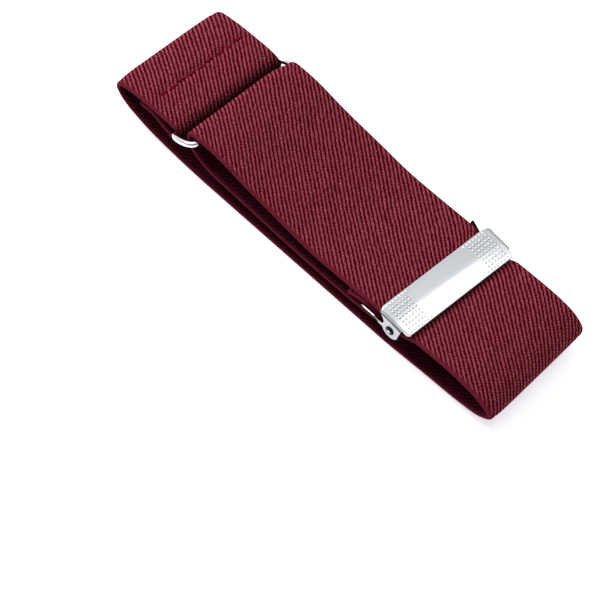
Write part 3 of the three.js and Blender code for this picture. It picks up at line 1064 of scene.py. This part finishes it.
# %% [markdown]
# ## The base
# The base is the channel under the strap: a floor, a rear bar, a narrow neck between the pins, and two thin
# side walls that lean outwards and end in a round ear. A wall starts as a flat disc with as many corners as
# its outline, and each corner is moved to its place. Booleans then join it to the rest.

# %% Side walls of the base
WALL_OUTER, WALL_SHEET = 17.7, 0.32
BASE_SHEET = 0.6
BASE_BOTTOM, BAR_BOTTOM = -3.8, -4.1
BAR_REAR, BAR_FRONT = -9.8, -7.9
FLOOR_REAR, FLOOR_FRONT = -5.0, 1.8
NECK_HALF = 1.6
EAR_RADIUS = 2.0
LEAN_SLOPE, LEAN_FROM, LEAN_FULL = 0.48, -1.9, -4.2
WALL_FOOT = [
    (BAR_REAR, BAR_BOTTOM), (BAR_FRONT, BAR_BOTTOM), (-6.0, BASE_BOTTOM), (-3.0, BASE_BOTTOM),
    (NECK_HALF, BASE_BOTTOM),
]
WALL_TOP = [(-3.0, -1.9), (-9.2, -0.5), (BAR_REAR, -0.8)]
neck_angle = math.degrees(math.acos(NECK_HALF / EAR_RADIUS))
wall_corners = WALL_FOOT + arc((0, 0), EAR_RADIUS, -neck_angle, 180 + neck_angle, 16) + WALL_TOP


def side_wall(side):
    bpy.ops.object.select_all(action="DESELECT")
    bpy.ops.mesh.primitive_circle_add(vertices=len(wall_corners), radius=1, fill_type="NGON")
    piece = named("side_wall")
    for vertex, (u, w) in zip(piece.data.vertices, wall_corners):
        vertex.co = Vector((u, side * (WALL_OUTER - WALL_SHEET / 2), w)) * MM
    sheet = piece.modifiers.new("sheet", "SOLIDIFY")
    sheet.thickness = WALL_SHEET * MM
    sheet.offset = 0
    apply_modifiers(piece)
    for vertex in piece.data.vertices:
        u, w = vertex.co.x / MM, vertex.co.z / MM
        share = min(max((LEAN_FROM - u) / (LEAN_FROM - LEAN_FULL), 0), 1)
        vertex.co.y += side * share * LEAN_SLOPE * (w - BAR_BOTTOM) * MM
    only(piece)
    bpy.ops.object.mode_set(mode="EDIT")
    bpy.ops.mesh.select_all(action="SELECT")
    bpy.ops.mesh.quads_convert_to_tris()
    bpy.ops.mesh.normals_make_consistent(inside=False)
    bpy.ops.object.mode_set(mode="OBJECT")
    return piece


print("side wall", len(wall_corners), "corners")

# %% Bar, floor, neck, walls and pins joined
FLOOR_HALF_LENGTH = 15.5
CROSS_HALF_LENGTH = WALL_OUTER - 0.1
NECK_STRIP_HALF = 1.5
PIN_RADIUS = 1.0


def cross_strip(name, rear, front, half_length, bottom):
    """A strip of the base's sheet that lies across the band."""
    return block(name, (rear, -half_length, bottom), (front, half_length, bottom + BASE_SHEET))


base = cross_strip("base_channel", BAR_REAR, BAR_FRONT, CROSS_HALF_LENGTH, BAR_BOTTOM)
floor_strip = cross_strip("base_floor", FLOOR_REAR, FLOOR_FRONT, FLOOR_HALF_LENGTH, BASE_BOTTOM)
combine(base, floor_strip, "UNION")
neck_strip = cross_strip("base_neck", -NECK_STRIP_HALF, NECK_STRIP_HALF, CROSS_HALF_LENGTH, BASE_BOTTOM)
combine(base, neck_strip, "UNION")
pin_inner = WALL_OUTER - WALL_SHEET
for side in (-1, 1):
    combine(base, side_wall(side), "UNION")
    pin_place = (0, side * (pin_inner + CHEEK_OUTER) / 2, 0)
    combine(base, rod("pin", pin_place, PIN_RADIUS, CHEEK_OUTER - pin_inner), "UNION")
settle(base, ADJUSTER_PLACE)
smooth(base)
paint(base, base_sheet)
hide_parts("adjuster_base")
finish_piece(base, "band")

# %% [markdown]
# ## The pin ends
# A pin's end is peened, which is hammered over so that it can't slip out. The blow leaves a rounded rim and
# a small middle that stands up. A short rod gets its rim bevelled and its face inset, and its metal changes
# colour with the distance from the pin's own axis: bright in the middle, and nearly black round it as
# painted shade.

# %% Pin metal with painted shade
PIN_SHADE_FROM, PIN_SHADE_FULL = 0.38 * MM, 0.48 * MM
# the near-black round the bright middle is painted shade
PIN_PAINTED_SHADE_COLOUR = (0.012, 0.012, 0.015, 1)
PIN_BRIGHT_COLOUR = (0.75, 0.75, 0.76, 1)


def pin_shade_colour(tree):
    """Bright on the pin's axis and dark round it, the dark being painted shade. The axis is turned with the
    adjuster.
    """
    x, y, z = split(tree, object_place(tree))
    aside = times(tree, y, math.tan(TURN), minus(tree, x, PIN[0] * MM))
    off_axis = flat_place(tree, aside, minus(tree, z, PIN[1] * MM))
    in_painted_shade = ease(tree, vector_step(tree, "LENGTH", off_axis), PIN_SHADE_FROM, PIN_SHADE_FULL)
    return mix_colour(tree, in_painted_shade, PIN_BRIGHT_COLOUR, PIN_PAINTED_SHADE_COLOUR)


pin_with_painted_shade = metal("peened pin", pin_shade_colour, 0.08, 0.1, EVEN, 0.004 * MM)
print("pin material", pin_with_painted_shade.name)

# %% Pin ends
PIN_END_RADIUS, PIN_END_HEIGHT, PIN_END_RIM = 1.28, 0.35, 0.28
STRUCK_INSET, STRUCK_HEIGHT = 0.5, 0.1

for side, name in ((-1, "pin_end_near"), (1, "pin_end_far")):
    face_y = side * (CHEEK_OUTER + PIN_END_HEIGHT)
    cap = rod(name, (0, side * CHEEK_OUTER, 0), PIN_END_RADIUS, 2 * PIN_END_HEIGHT, 32)
    bevel_edges(cap, lambda a, b: max(abs(a.y - face_y), abs(b.y - face_y)) < 0.01, PIN_END_RIM, 4)
    only(cap)
    bpy.ops.object.mode_set(mode="EDIT")
    bpy.ops.mesh.select_mode(type="FACE")
    bpy.ops.mesh.select_all(action="DESELECT")
    mesh = bmesh.from_edit_mesh(cap.data)
    for face in mesh.faces:
        face.select_set(face.normal.y * side > 0.99)
    bmesh.update_edit_mesh(cap.data)
    bpy.ops.mesh.inset(thickness=STRUCK_INSET * MM, depth=STRUCK_HEIGHT * MM)
    bpy.ops.object.mode_set(mode="OBJECT")
    settle(cap, ADJUSTER_PLACE)
    smooth(cap, 60)
    paint(cap, pin_with_painted_shade)
    finish_piece(cap, "band")

# %% [markdown]
# ## The floor
# The photograph is a studio picture on white. A white floor under soft light would still come out grey, so
# it glows a little, as a lit table does, and keeps only a faint cool shade next to the band.

# %% Floor
floor_material, tree, shader = new_material(
    "white floor",
    Base_Color=(0.8, 0.81, 0.84, 1),
    Roughness=0.9,
    Emission_Color=(0.955, 0.98, 1.0, 1),
    Emission_Strength=0.63,
)
bpy.ops.object.select_all(action="DESELECT")
bpy.ops.mesh.primitive_plane_add(size=6)
floor = named("floor")
paint(floor, floor_material)
print("floor", floor.name)

# %% [markdown]
# ## The light
# Light from all round comes from the sky, which is brightest above and to the left and falls off towards
# the horizon. A broad key panel on the left gives the ribs their relief. A softbox stands where the right
# half of the cover mirrors it, so that half is white and the other one grey, as on the real plate.

# %% Sky
LIGHT_SIDE = (-0.6, 0.2, 0.77)
HORIZON_LIGHT = (0.24, 0.245, 0.26, 1)
OVERHEAD_LIGHT = (0.86, 0.88, 0.92, 1)
OVERHEAD_FROM, OVERHEAD_FULL = 0.2, 0.85

world = bpy.data.worlds.new("studio")
bpy.context.scene.world = world
world.use_nodes = True
sky = world.node_tree
sky_place = sky.nodes.new("ShaderNodeTexCoord").outputs["Generated"]
overhead = ease(sky, vector_step(sky, "DOT_PRODUCT", sky_place, LIGHT_SIDE), OVERHEAD_FROM, OVERHEAD_FULL)
sky_colour = mix_colour(sky, overhead, HORIZON_LIGHT, OVERHEAD_LIGHT)
put(sky, sky_colour, sky.nodes["Background"].inputs["Color"])
print("sky", world.name)

# %% Panels


def panel(name, place, width, depth, power):
    """A soft lamp that faces the band."""
    light = bpy.data.lights.new(name, "AREA")
    light.shape = "RECTANGLE"
    light.size = width
    light.size_y = depth
    light.energy = power
    lamp = bpy.data.objects.new(name, light)
    bpy.context.scene.collection.objects.link(lamp)
    lamp.location = place
    lamp.rotation_euler = (-Vector(place)).to_track_quat("-Z", "Y").to_euler()
    print(name, power, "W")


panel("key_panel", (-0.75, -0.05, 0.7), 0.6, 0.6, 7.1)
panel("softbox", (0.18, 0.42, 0.9), 0.46, 0.6, 1.4)

bpy.context.scene.view_settings.view_transform = "Standard"
bpy.context.scene.view_settings.look = "None"
bpy.context.scene.view_settings.exposure = 0.0
